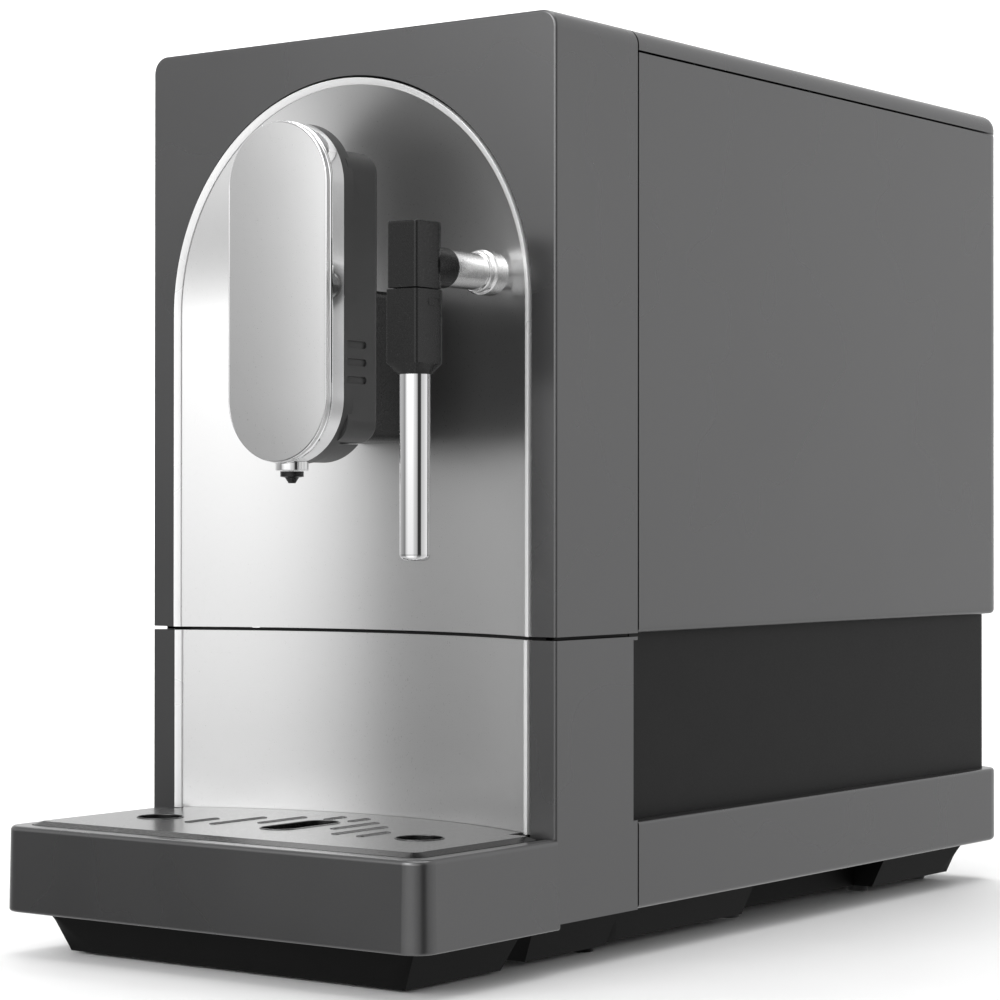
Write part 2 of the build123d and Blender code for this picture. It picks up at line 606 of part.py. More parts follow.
with BuildPart() as wand_collar:
    with BuildSketch(side_plane(WAND_X)):
        with BuildLine():
            r_big, r_mid, r_in = 7.6, 6.9, ARM_RADIUS + 0.1
            y0, y1, y2 = FACE_Y - 3.8, FACE_Y - 1.2, collar_back
            Polyline(
                (y0, ARM_Z + r_in), (y0, ARM_Z + r_mid - 0.3), (y0 + 0.3, ARM_Z + r_mid), (y1, ARM_Z + r_mid),
                (y1, ARM_Z + r_big - 0.4), (y1 + 0.4, ARM_Z + r_big), (y2, ARM_Z + r_big),
                (y2, ARM_Z + r_in), close=True)
        make_face()
    revolve(axis=Axis((WAND_X, 0, ARM_Z), (0, 1, 0)))
save(wand_collar.part, "wand_collar")

with BuildPart() as wand_arm:
    extrude(
        ring(front_plane(socket_back), (WAND_X, ARM_Z), ARM_RADIUS, 2.5), amount=-(collar_back - socket_back))
    extrude(ring(front_plane(collar_back), (WAND_X, ARM_Z), 5.0, 2.5), amount=-14)
    # journal that carries the swinging head
    extrude(ring(front_plane(socket_back - 7.5), (WAND_X, ARM_Z), 4.0, 2.5), amount=-7.5)
save(wand_arm.part, "wand_arm")

BLOCK_FRONT_Y = FACE_Y - 43.7
BLOCK_BACK_Y = FACE_Y - 27.6
TUBE_RADIUS = 5.1


def block_outline(plane, half_x, front_y, back_y):
    """Plan of the wand's head: flat front with small corners, and a rounded back."""
    with BuildSketch(plane) as shape:
        with Locations((WAND_X, (front_y + back_y) / 2)):
            Rectangle(2 * half_x, back_y - front_y)
        fillet(shape.vertices().group_by(Axis.Y)[0], 1.0)
        fillet(shape.vertices().group_by(Axis.Y)[-1], 4.5)
    return shape.sketch


with BuildPart() as wand_head:
    extrude(block_outline(level(225.2), 6.1, BLOCK_FRONT_Y, BLOCK_BACK_Y), amount=21.9)
    fillet(wand_head.faces().sort_by(Axis.Z)[-1].edges(), 0.9)
    # round socket that turns on the arm's journal
    extrude(
        disc(front_plane(BLOCK_BACK_Y - 4), (WAND_X, ARM_Z), 6.7), amount=-(socket_back - 0.3 - BLOCK_BACK_Y + 4))
    bore = disc(front_plane(socket_back + 1), (WAND_X, ARM_Z), 4.0 + SHAFT_CLEARANCE)
    extrude(bore, amount=9.5, mode=Mode.SUBTRACT)
save(wand_head.part, "wand_head")

with BuildPart() as wand_grip:
    extrude(block_outline(level(224.7), 6.4, BLOCK_FRONT_Y - 0.3, BLOCK_BACK_Y + 0.3), amount=-24.0)
    # foot that closes in on the tube
    add(block_outline(level(200.7), 6.4, BLOCK_FRONT_Y - 0.3, BLOCK_BACK_Y + 0.3))
    with BuildSketch(level(197.2)):
        with Locations((WAND_X, WAND_Y)):
            Circle(TUBE_RADIUS + 0.6)
    loft()
    extrude(
        disc(level(196), (WAND_X, WAND_Y), TUBE_RADIUS + SHAFT_CLEARANCE), amount=22.2, mode=Mode.SUBTRACT)
save(wand_grip.part, "wand_grip")

TUBE_LOW_Z = 136.4
with BuildPart() as wand_tube:
    extrude(disc(level(TUBE_LOW_Z), (WAND_X, WAND_Y), TUBE_RADIUS), amount=218 - TUBE_LOW_Z)
    fillet(wand_tube.faces().sort_by(Axis.Z)[0].edges(), 2.2)
    extrude(disc(level(TUBE_LOW_Z - 1), (WAND_X, WAND_Y), 3.4), amount=82.0, mode=Mode.SUBTRACT)
    # narrow air inlet in the left of the tube
    extrude(
        rectangle(side_plane(WAND_X), (WAND_Y - 0.7, 168), (WAND_Y + 0.7, 178), 0.6), amount=-8, mode=Mode.SUBTRACT)
save(wand_tube.part, "wand_tube")

with BuildPart() as wand_tip:
    extrude(ring(level(TUBE_LOW_Z + 1.2), (WAND_X, WAND_Y), 3.3, 0.8), amount=9)
    fillet(wand_tip.faces().sort_by(Axis.Z)[0].edges().sort_by(SortBy.LENGTH)[-1], 0.8)
save(wand_tip.part, "wand_tip")

# ---------------------------------------------------------------- controls
BUTTONS = {"button_power": -42.0, "button_coffee": -14.0, "button_espresso": 14.0, "button_steam": 42.0}
BUTTON_RADIUS = 7.0
BUTTON_TRAVEL = 0.8

with BuildPart() as control_strip:
    extrude(rectangle(level(TOP_Z), (-59.8, -111.8), (59.8, -88.2), 3.8), amount=-3.0)
    extrude(rectangle(level(TOP_Z - 3.0), (-62.5, -114), (62.5, -86), 4), amount=-1.6)
    with BuildSketch(level(TOP_Z)):
        with Locations([(x, -100) for x in BUTTONS.values()]):
            Circle(BUTTON_RADIUS + 0.3)
    extrude(amount=-8, mode=Mode.SUBTRACT)
save(control_strip.part, "control_strip")

for name, x in BUTTONS.items():
    with BuildPart() as button:
        extrude(disc(level(TOP_Z - 5.2), (x, -100), BUTTON_RADIUS), amount=5.0)
        fillet(button.faces().sort_by(Axis.Z)[-1].edges(), 0.5)
        extrude(disc(level(TOP_Z - 6.2), (x, -100), BUTTON_RADIUS + 1.5), amount=1.0)
    save(button.part, name)

# ---------------------------------------------------------------- bean hopper, lid and grinder
HOPPER_LIP_Z = LID_Z - 0.2


def flap(box, pin_y, pin_reach):
    """A flush lid with a shallow rim below and a hinge pin standing out on each side."""
    with BuildPart() as lid:
        extrude(rectangle(level(TOP_Z), (box[0], box[2]), (box[1], box[3]), 4), amount=-2.4)
        fillet(lid.faces().sort_by(Axis.Z)[-1].edges(), 0.8)
        extrude(rectangle(level(TOP_Z - 2.4), (box[0], box[2] + 2), (box[1], box[3] - 2), 3), amount=-2.4)
        hollow = rectangle(level(TOP_Z - 2.4), (box[0] + 2, box[2] + 4), (box[1] - 2, pin_y - 3))
        extrude(hollow, amount=-3, mode=Mode.SUBTRACT)
        extrude(disc(side_plane(box[1] - 1), (pin_y, PIN_Z), PIN_RADIUS), amount=pin_reach + 1)
        extrude(disc(side_plane(box[0] + 1), (pin_y, PIN_Z), PIN_RADIUS), amount=-(pin_reach + 1))
        # finger scoop at the front edge
        middle = (box[0] + box[1]) / 2
        scoop = rectangle(level(TOP_Z + 1), (middle - 12, box[2] - 5), (middle + 12, box[2] + 4), 3)
        extrude(scoop, amount=-2.2, mode=Mode.SUBTRACT)
    return lid.part


save(flap(HOPPER, hopper_pin_y, 3.6), "hopper_lid")

with BuildPart() as bean_hopper:
    throat_z = 276.0
    with BuildSketch(level(HOPPER_LIP_Z)):
        with Locations((0, (HOPPER[2] + HOPPER[3]) / 2)):
            RectangleRounded(136, 96, 8)
    with BuildSketch(level(throat_z)):
        with Locations((BREW_X, BREW_Y)):
            RectangleRounded(50, 50, 8)
    loft()
    floor = rectangle(level(throat_z), (BREW_X - 25, BREW_Y - 25), (BREW_X + 25, BREW_Y + 25), 8)
    extrude(floor, amount=-2)
    extrude(disc(level(throat_z), (BREW_X, BREW_Y), 20), amount=-8)
    with BuildSketch(level(HOPPER_LIP_Z)):
        with Locations((0, (HOPPER[2] + HOPPER[3]) / 2)):
            RectangleRounded(131, 91, 6)
    with BuildSketch(level(throat_z)):
        with Locations((BREW_X, BREW_Y)):
            RectangleRounded(45, 45, 6)
    loft(mode=Mode.SUBTRACT)
    extrude(disc(level(throat_z + 1), (BREW_X, BREW_Y), 17.5), amount=-12, mode=Mode.SUBTRACT)
save(bean_hopper.part, "bean_hopper")

with BuildPart() as upper_burr:
    extrude(ring(level(255), (BREW_X, BREW_Y), 23, 12), amount=9)
    with BuildSketch(level(255)):
        with Locations((BREW_X, BREW_Y)):
            with PolarLocations(12.6, 18):
                Rectangle(2.0, 2.2)
    extrude(amount=7, mode=Mode.SUBTRACT)
save(upper_burr.part, "upper_burr")

with BuildPart() as lower_burr:
    with BuildSketch(level(246)):
        with Locations((BREW_X, BREW_Y)):
            Circle(18)
    with BuildSketch(level(262)):
        with Locations((BREW_X, BREW_Y)):
            Circle(8)
    loft()
    with BuildSketch(level(246)):
        with Locations((BREW_X, BREW_Y)):
            with PolarLocations(17.5, 12):
                Rectangle(5, 1.6)
    extrude(amount=16, mode=Mode.SUBTRACT)
    extrude(disc(level(246), (BREW_X, BREW_Y), 3.0), amount=-12)
    cone_cut = ring(level(254.5), (BREW_X, BREW_Y), 40, 11.5)
    extrude(cone_cut, amount=10, mode=Mode.SUBTRACT)
save(lower_burr.part, "lower_burr")

with BuildPart() as grinder_housing:
    extrude(ring(level(238), (BREW_X, BREW_Y), 30, 24), amount=28)
    extrude(ring(level(236), (BREW_X, BREW_Y), 30, 3.0 + SHAFT_CLEARANCE), amount=2)
    # chute down to the brew chamber
    extrude(
        rectangle(level(234), (BREW_X + 14, BREW_Y - 5), (BREW_X + 24, BREW_Y + 5)), amount=6, mode=Mode.SUBTRACT)
save(grinder_housing.part, "grinder_housing")

# ---------------------------------------------------------------- brew unit
CHAMBER_RADIUS = 20.0
GRINDER_MOTOR = (44.0, BREW_Y)
SHELF_Z = 106.5
GRINDER_SHELF_Z = 233.0

with BuildPart() as brew_frame:
    extrude(ring(level(150), (BREW_X, BREW_Y), CHAMBER_RADIUS + 4, CHAMBER_RADIUS), amount=66)
    extrude(rectangle(level(144), (BREW_X - 32, BREW_Y - 32), (BREW_X + 32, BREW_Y + 32), 4), amount=6)
    extrude(disc(level(143), (BREW_X, BREW_Y), CHAMBER_RADIUS), amount=8, mode=Mode.SUBTRACT)
    for side in (-1, 1):
        wall = (BREW_X + side * 30 - 2, BREW_Y - 32), (BREW_X + side * 30 + 2, BREW_Y + 32)
        extrude(rectangle(level(SHELF_Z + 3), *wall), amount=144 - SHELF_Z - 3)
    extrude(rectangle(level(112), (BREW_X - 32, BREW_Y - 12), (BREW_X + 32, BREW_Y + 12)), amount=5)
    extrude(disc(level(111), (BREW_X, BREW_Y), 6.0 + SHAFT_CLEARANCE), amount=8, mode=Mode.SUBTRACT)
save(brew_frame.part, "brew_frame")

with BuildPart() as brew_piston:
    extrude(disc(level(152), (BREW_X, BREW_Y), CHAMBER_RADIUS - 0.3), amount=14)
    extrude(disc(level(133), (BREW_X, BREW_Y), 11), amount=19)
    extrude(disc(level(132), (BREW_X, BREW_Y), 6.4), amount=31, mode=Mode.SUBTRACT)
save(brew_piston.part, "brew_piston")

with BuildPart() as brew_spindle:
    extrude(disc(level(111.5), (BREW_X, BREW_Y), 6.0), amount=22)
    extrude(disc(level(133.5), (BREW_X, BREW_Y), 5.4), amount=18)
    extrude(ring(level(117.5), (BREW_X, BREW_Y), 9, 5), amount=4)
save(brew_spindle.part, "brew_spindle")

with BuildPart() as gear_motors:
    extrude(disc(level(240), GRINDER_MOTOR, 19), amount=-58)
    extrude(disc(level(240), GRINDER_MOTOR, 22), amount=4)
    fillet(gear_motors.faces().sort_by(Axis.Z)[0].edges(), 2)
    extrude(disc(level(150), (32, -30), 14), amount=-38)
    extrude(rectangle(level(111.5), (14, -46), (50, -12), 3), amount=4)
save(gear_motors.part, "gear_motors")

with BuildPart() as inner_frame:
    shelf_low, shelf_high = (-81.2, -60), (70, 40)
    extrude(rectangle(level(SHELF_Z), (-81.2, -68), (81.2, 36)), amount=3)
    under_brew = rectangle(level(SHELF_Z - 1), (BREW_X - 24, BREW_Y - 30), (BREW_X + 24, BREW_Y + 30))
    extrude(under_brew, amount=6, mode=Mode.SUBTRACT)
    extrude(rectangle(level(SHELF_Z + 3), (-81.2, -60), (-78.7, 36)), amount=GRINDER_SHELF_Z - SHELF_Z - 3)
    for y in (-58, 34):
        extrude(rectangle(level(SHELF_Z + 3), (64, y), (68, y + 6)), amount=GRINDER_SHELF_Z - SHELF_Z - 3)
    extrude(rectangle(level(GRINDER_SHELF_Z), shelf_low, shelf_high), amount=2.8)
    extrude(disc(level(GRINDER_SHELF_Z - 1), GRINDER_MOTOR, 19.5), amount=6, mode=Mode.SUBTRACT)
    extrude(disc(level(GRINDER_SHELF_Z - 1), (BREW_X, BREW_Y), 25.5), amount=6, mode=Mode.SUBTRACT)
save(inner_frame.part, "inner_frame")

# ---------------------------------------------------------------- water: tank, dock, pump, heater and hoses
TANK_FLOOR_Z = 98.0

with BuildPart() as water_tank:
    outline = (TANK[0], TANK[2]), (TANK[1], TANK[3])
    extrude(rectangle(level(TANK_FLOOR_Z), *outline, 6), amount=TOP_Z - TANK_FLOOR_Z)
    fillet(water_tank.faces().sort_by(Axis.Z)[-1].edges(), 0.8)
    low, high = (TANK[0] + 2.2, TANK[2] + 2.2), (TANK[1] - 2.2, TANK[3] - 2.2)
    cavity = rectangle(level(TANK_FLOOR_Z + 2.2), low, high, 4)
    extrude(cavity, amount=PIN_Z - 8 - TANK_FLOOR_Z - 2.2, mode=Mode.SUBTRACT)
    opening = lid_opening(tank_lid_box, 0.8)
    extrude(rectangle(level(PIN_Z - 9), *opening, 4), amount=20, mode=Mode.SUBTRACT)
    hole = disc(side_plane(tank_lid_box[0] - 2.6), (tank_pin_y, PIN_Z), PIN_RADIUS + SHAFT_CLEARANCE)
    extrude(hole, amount=tank_lid_box[1] - tank_lid_box[0] + 5.2, mode=Mode.SUBTRACT)
    extrude(disc(level(TANK_FLOOR_Z - 1), (-42, 160), 5.2), amount=5, mode=Mode.SUBTRACT)
save(water_tank.part, "water_tank")

save(flap(tank_lid_box, tank_pin_y, 2.2), "tank_lid")

with BuildPart() as tank_valve:
    extrude(disc(level(TANK_FLOOR_Z + 2.4), (-42, 160), 8.0), amount=2.0)
    extrude(disc(level(TANK_FLOOR_Z + 2.4), (-42, 160), 3.2), amount=-3.4)
save(tank_valve.part, "tank_valve")

with BuildPart() as tank_dock:
    extrude(rectangle(level(89.0), (-80, 62), (-2, 188), 5), amount=4)
    extrude(ring(level(93.0), (-42, 160), 8, 5), amount=3.4)
    extrude(disc(level(88), (-42, 160), 3), amount=10, mode=Mode.SUBTRACT)
    extrude(ring(level(89.0), (-42, 160), 6, 3), amount=-9)
    for y in (80, 120):
        extrude(rectangle(level(18.5), (-70, y - 3), (-14, y + 3)), amount=70.5)
save(tank_dock.part, "tank_dock")

with BuildPart() as water_pump:
    extrude(disc(front_plane(70), (44, 60), 16), amount=-42)
    extrude(disc(front_plane(112), (44, 60), 5), amount=-24)
    extrude(disc(front_plane(70), (44, 60), 5), amount=18)
    extrude(rectangle(level(18.5), (32, 74), (56, 82), 1), amount=27)
    extrude(rectangle(level(18.5), (32, 100), (56, 108), 1), amount=27)
save(water_pump.part, "water_pump")

with BuildPart() as flow_meter:
    extrude(disc(level(34), (-42, 160), 13), amount=14)
    extrude(disc(level(48), (-42, 160), 4), amount=10)
    extrude(disc(side_plane(-29.5), (160, 41), 4), amount=12)
save(flow_meter.part, "flow_meter")

with BuildPart() as thermoblock:
    extrude(rectangle(level(150), (14, 70), (70, 130), 6), amount=34)
    fillet(thermoblock.edges().filter_by(Axis.Z, reverse=True), 1.5)
    extrude(disc(front_plane(70.5), (28, 167), 4.5), amount=9)
    extrude(disc(front_plane(70.5), (56, 167), 4.5), amount=9)
    extrude(disc(level(150.5), (44, 100), 4.5), amount=-9)
    extrude(rectangle(level(18.5), (66, 90), (69, 110)), amount=132)
save(thermoblock.part, "thermoblock")


def hose(points, outer=3.0, inner=1.6):
    """A hose whose bends are as large as their shorter run allows."""
    vectors = [Vector(*point) for point in points]
    radii = []
    for before, here, after in zip(vectors, vectors[1:], vectors[2:]):
        turn = radians((here - before).get_angle(after - here))
        radii.append(0.45 * min((here - before).length, (after - here).length) / tan(turn / 2))
    return tube_along(points, radii, outer, inner)


suction_hose = hose([(-17.2, 160, 41), (8, 160, 41), (34, 158, 52), (44, 148.4, 60), (44, 136.4, 60)])
pressure_hose = hose([
    (44, 51.6, 60), (44, 38, 60), (44, 30, 84), (44, 48, 112), (44, 92, 122), (44, 100, 134),
    (44, 100, 141.2)])
coffee_hose = hose([
    (28, 61.2, 167), (28, 40, 167), (22, 26, 200), (22, -6, COFFEE_PORT_Z), (20, -50, COFFEE_PORT_Z),
    (6, -84, COFFEE_PORT_Z), (0, -96, COFFEE_PORT_Z), (0, -104, COFFEE_PORT_Z)])
steam_hose = hose([
    (56, 61.2, 167), (56, 46, 168), (64, 20, 190), (76, -20, 222), (76, -56, 230), (68, -86, 232.9),
    (59.5, -98, 232.9), (59.5, -107.6, 232.9)], 2.4, 1.4)
save(Compound(children=[suction_hose, pressure_hose, coffee_hose, steam_hose]), "hoses")

# ---------------------------------------------------------------- electrics and fasteners
with BuildPart() as circuit_boards:
    # key board under the buttons
    extrude(rectangle(level(TOP_Z - 14.0), (-58, -112), (58, -90)), amount=1.6)
    for low, height, size in ((TOP_Z - 12.4, 3.4, 6.0), (TOP_Z - 9.0, 1.6, 3.0)):
        with BuildSketch(level(low)):
            with Locations([(x, -100) for x in BUTTONS.values()]):
                Rectangle(size, size)
        extrude(amount=height)
    # power board on the right wall
    extrude(rectangle(side_plane(79), (20, 120), (120, 190)), amount=-1.6)
    for y, z, w, h in ((40, 140, 20, 16), (72, 170, 26, 14), (100, 138, 16, 24)):
        extrude(rectangle(side_plane(77.4), (y - w / 2, z - h / 2), (y + w / 2, z + h / 2)), amount=-6)
save(circuit_boards.part, "circuit_boards")

INLET = (48.0, 72.0)          # x and z of the mains inlet's centre
ROCKER_X, ROCKER_Z = 15.5, 72.0


def centred(y, place, width, height, radius=0.0):
    """A rectangle in an upright plane, centred on an x and z."""
    low = (place[0] - width / 2, place[1] - height / 2)
    high = (place[0] + width / 2, place[1] + height / 2)
    return rectangle(front_plane(y), low, high, radius)


with BuildPart() as mains_inlet:
    extrude(centred(waist_back + 0.2, INLET, 31.2, 23.2, 2), amount=-2)
    extrude(centred(waist_back - 22, INLET, 27.6, 19.6, 1.5), amount=-22.3)
    extrude(centred(waist_back - 16, INLET, 24, 16, 2), amount=-30, mode=Mode.SUBTRACT)
    for x, z in ((-7, -1.5), (7, -1.5), (0, 2.5)):
        extrude(centred(waist_back - 16.5, (INLET[0] + x, INLET[1] + z), 2, 4), amount=-14)
with BuildPart() as switch_frame:
    extrude(centred(waist_back - 14, (ROCKER_X, ROCKER_Z), 18.6, 15.6, 1), amount=-14.2)
    extrude(centred(waist_back + 0.2, (ROCKER_X, ROCKER_Z), 22, 19, 1.5), amount=-1.6)
    extrude(centred(waist_back - 10, (ROCKER_X, ROCKER_Z), 15.6, 12), amount=-30, mode=Mode.SUBTRACT)
    hole = disc(side_plane(ROCKER_X), (waist_back - 3, ROCKER_Z), 1.5 + SHAFT_CLEARANCE)
    extrude(hole, amount=8.8, both=True, mode=Mode.SUBTRACT)
save(Compound(children=[mains_inlet.part, switch_frame.part]), "mains_inlet")

with BuildPart() as power_rocker:
    with BuildSketch(side_plane(ROCKER_X - 7.4)):
        with BuildLine():
            y, z = waist_back - 3, ROCKER_Z
            Polyline(
                (y - 2.2, z - 4.6), (y + 4.4, z - 4.9), (y + 2.6, z), (y + 4.4, z + 4.9), (y - 2.2, z + 4.6),
                close=True)
        make_face()
    extrude(amount=14.8)
    extrude(disc(side_plane(ROCKER_X), (waist_back - 3, ROCKER_Z), 1.5), amount=8.6, both=True)
save(power_rocker.part, "power_rocker")

with BuildPart() as rear_screws:
    screw_places = [(-60, 60), (60, 98), (-60, 98)]
    with BuildSketch(front_plane(waist_back + 0.1)):
        with Locations(screw_places):
            Circle(3.4)
    extrude(amount=-1.6)
    with BuildSketch(front_plane(waist_back + 1.8)):
        with Locations(screw_places):
            Rectangle(4.0, 0.9)
            Rectangle(0.9, 4.0)
    extrude(amount=1.0, mode=Mode.SUBTRACT)
save(rear_screws.part, "rear_screws")
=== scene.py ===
"""Looks of the compact coffee machine: materials, fine surface pieces, floor, light and camera.

Everything is in metres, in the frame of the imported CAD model.
"""
import json
import math

import bmesh
import bpy
from mathutils import Matrix, Vector


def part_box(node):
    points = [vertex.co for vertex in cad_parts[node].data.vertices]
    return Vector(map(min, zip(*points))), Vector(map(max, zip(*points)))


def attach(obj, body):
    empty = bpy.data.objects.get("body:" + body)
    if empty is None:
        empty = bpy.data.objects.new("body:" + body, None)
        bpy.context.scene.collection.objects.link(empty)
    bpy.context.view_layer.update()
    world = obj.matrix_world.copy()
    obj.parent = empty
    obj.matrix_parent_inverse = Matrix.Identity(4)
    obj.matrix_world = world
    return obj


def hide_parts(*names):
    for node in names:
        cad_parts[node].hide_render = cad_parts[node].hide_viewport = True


MM = 0.001

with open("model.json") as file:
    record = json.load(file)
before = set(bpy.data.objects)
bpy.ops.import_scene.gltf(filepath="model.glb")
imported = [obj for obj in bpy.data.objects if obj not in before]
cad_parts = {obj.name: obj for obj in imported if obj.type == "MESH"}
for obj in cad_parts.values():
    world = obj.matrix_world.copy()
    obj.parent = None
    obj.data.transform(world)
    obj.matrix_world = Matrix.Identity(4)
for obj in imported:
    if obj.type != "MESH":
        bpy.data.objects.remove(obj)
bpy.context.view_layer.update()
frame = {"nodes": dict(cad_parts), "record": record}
nodes = frame["nodes"]
scene = bpy.context.scene


# ---------------------------------------------------------------- node helpers
class Shader:
    """A Principled material with short ways to add noise, ramps and bump."""

    def __init__(self, name):
        self.material = bpy.data.materials.new(name)
        self.material.use_nodes = True
        self.tree = self.material.node_tree
        self.bsdf = self.tree.nodes["Principled BSDF"]
        self.place = self.tree.nodes.new("ShaderNodeTexCoord").outputs["Object"]

    def set(self, **values):
        for name, value in values.items():
            self.bsdf.inputs[name.replace("_", " ")].default_value = value
        return self

    def node(self, kind, **values):
        made = self.tree.nodes.new(kind)
        for name, value in values.items():
            setattr(made, name, value)
        return made

    def link(self, source, target):
        self.tree.links.new(source, target)
        return target

    def stretched(self, scale):
        """Object coordinates scaled unevenly, in 1/m."""
        mapping = self.node("ShaderNodeMapping")
        mapping.inputs["Scale"].default_value = scale
        self.link(self.place, mapping.inputs["Vector"])
        return mapping.outputs["Vector"]

    def noise(self, scale, detail=3.0, roughness=0.55, vector=None):
        texture = self.node("ShaderNodeTexNoise")
        texture.inputs["Scale"].default_value = scale
        texture.inputs["Detail"].default_value = detail
        texture.inputs["Roughness"].default_value = roughness
        self.link(vector or self.place, texture.inputs["Vector"])
        return texture.outputs["Fac"]

    def spread(self, source, low, high, from_low=0.3, from_high=0.7):
        """Maps a 0 to 1 value onto low to high."""
        ranged = self.node("ShaderNodeMapRange")
        ends = {"From Min": from_low, "From Max": from_high, "To Min": low, "To Max": high}
        for name, value in ends.items():
            ranged.inputs[name].default_value = value
        self.link(source, ranged.inputs["Value"])
        return ranged.outputs["Result"]

    def colours(self, source, low, high):
        mix = self.node("ShaderNodeMix", data_type="RGBA")
        mix.inputs[6].default_value = (*low, 1.0)
        mix.inputs[7].default_value = (*high, 1.0)
        self.link(source, mix.inputs["Factor"])
        self.link(mix.outputs[2], self.bsdf.inputs["Base Color"])
        return self

    def rough(self, source, low, high):
        self.link(self.spread(source, low, high), self.bsdf.inputs["Roughness"])
        return self

    def bump(self, source, strength, distance):
        bump = self.node("ShaderNodeBump")
        bump.inputs["Strength"].default_value = strength
        bump.inputs["Distance"].default_value = distance
        self.link(source, bump.inputs["Height"])
        self.link(bump.outputs["Normal"], self.bsdf.inputs["Normal"])
        return self


def grey(value, tint=0.0):
    return (value, value, value * (1.0 + tint))


# ---------------------------------------------------------------- materials
def body_paint():
    """Satin metallic paint: fine flake, slight orange peel and faint uneven gloss."""
    s = Shader("body_paint")
    flake = s.noise(9000.0, 1.0)
    cloud = s.noise(14.0, 2.0)
    s.colours(s.spread(flake, 0.0, 1.0, 0.25, 0.75), grey(0.115, 0.01), grey(0.148, 0.01))
    s.rough(cloud, 0.25, 0.3)
    s.bump(s.noise(1500.0, 2.0), 0.05, 0.00004)
    return s.set(Metallic=0.92).material


def satin_steel():
    """Bead-finished steel with a fine upright grain."""
    s = Shader("satin_steel")
    grain = s.noise(1.0, 4.0, 0.6, s.stretched((5200.0, 5200.0, 900.0)))
    cloud = s.noise(9.0, 2.0)
    s.colours(cloud, grey(0.66), grey(0.72))
    s.rough(grain, 0.27, 0.36)
    s.bump(grain, 0.12, 0.00002)
    return s.set(Metallic=1.0).material


def tray_steel():
    """Drip plate steel: long fine brushing across the machine, with painted shade on the sloping border
    and the pressed edges.
    """
    s = Shader("tray_steel")
    grain = s.noise(1.0, 4.0, 0.65, s.stretched((350.0, 6000.0, 6000.0)))
    # painted shade: the sloping border and the pressed edges are coloured darker than the flat, standing
    # in for the darker reflection they show
    split = s.node("ShaderNodeSeparateXYZ")
    s.link(s.node("ShaderNodeNewGeometry").outputs["Normal"], split.inputs["Vector"])
    s.colours(s.spread(split.outputs["Z"], 0.0, 1.0, 0.95, 0.99), grey(0.09), grey(0.47))
    s.rough(grain, 0.2, 0.3)
    s.bump(grain, 0.1, 0.00002)
    # a low view would otherwise show the bright panel mirrored in the whole plate
    s.bsdf.inputs["Specular Tint"].default_value = (*grey(0.66), 1.0)
    return s.set(Metallic=1.0).material


def polished():
    """Mirror-polished chrome with faint wipe marks."""
    s = Shader("polished_chrome")
    wipes = s.noise(1.0, 3.0, 0.5, s.stretched((160.0, 160.0, 28.0)))
    s.colours(s.noise(30.0, 2.0), grey(0.84), grey(0.88, 0.01))
    s.rough(wipes, 0.035, 0.07)
    return s.set(Metallic=1.0).material


def trim_satin():
    """Satin bright trim: lighter and softer than the mirror chrome."""
    s = Shader("trim_satin")
    s.colours(s.noise(30.0, 2.0), grey(0.87), grey(0.91))
    s.rough(s.noise(40.0, 1.0), 0.27, 0.3)
    return s.set(Metallic=0.35).material


def silver():
    """Turned satin metal of the steam arm."""
    s = Shader("satin_silver")
    turned = s.noise(1.0, 2.0, 0.5, s.stretched((800.0, 9000.0, 800.0)))
    s.colours(s.noise(40.0, 2.0), grey(0.76), grey(0.83))
    s.rough(turned, 0.2, 0.3)
    s.bump(turned, 0.08, 0.00002)
    return s.set(Metallic=1.0).material


def moulded(name, dark, light, rough_low, rough_high, grain_scale=2600.0, grain=0.25,
            metallic=0.0, shine=0.3):
    """Moulded plastic with a spark-eroded grain."""
    s = Shader(name)
    fine = s.noise(grain_scale, 2.0, 0.6)
    s.colours(s.noise(60.0, 3.0), dark, light)
    s.rough(fine, rough_low, rough_high)
    s.bump(fine, grain, 0.00005)
    s.bsdf.inputs["Specular IOR Level"].default_value = shine
    return s.set(Metallic=metallic).material


def clear(name, tint, rough=0.06):
    """Clear plastic with a faint tint."""
    s = Shader(name)
    s.colours(s.noise(30.0, 2.0), tint, tuple(min(1.0, c * 1.05) for c in tint))
    s.rough(s.noise(90.0, 2.0), rough, rough + 0.04)
    s.set(IOR=1.49, Alpha=1.0)
    s.bsdf.inputs["Transmission Weight"].default_value = 0.85
    return s.material


def board():
    """Green solder mask over a circuit board's tracks."""
    s = Shader("solder_mask")
    tracks = s.spread(s.noise(420.0, 1.0), 0.0, 1.0, 0.48, 0.52)
    s.colours(tracks, (0.01, 0.07, 0.03), (0.02, 0.11, 0.05))
    s.rough(s.noise(200.0), 0.3, 0.45)
    return s.material


def glowing(name, colour, strength):
    """A small lamp's lit window."""
    s = Shader(name)
    s.colours(s.noise(500.0, 2.0), colour, tuple(min(1.0, c * 1.2) for c in colour))
    s.bsdf.inputs["Emission Color"].default_value = (*colour, 1.0)
    s.bsdf.inputs["Emission Strength"].default_value = strength
    return s.material


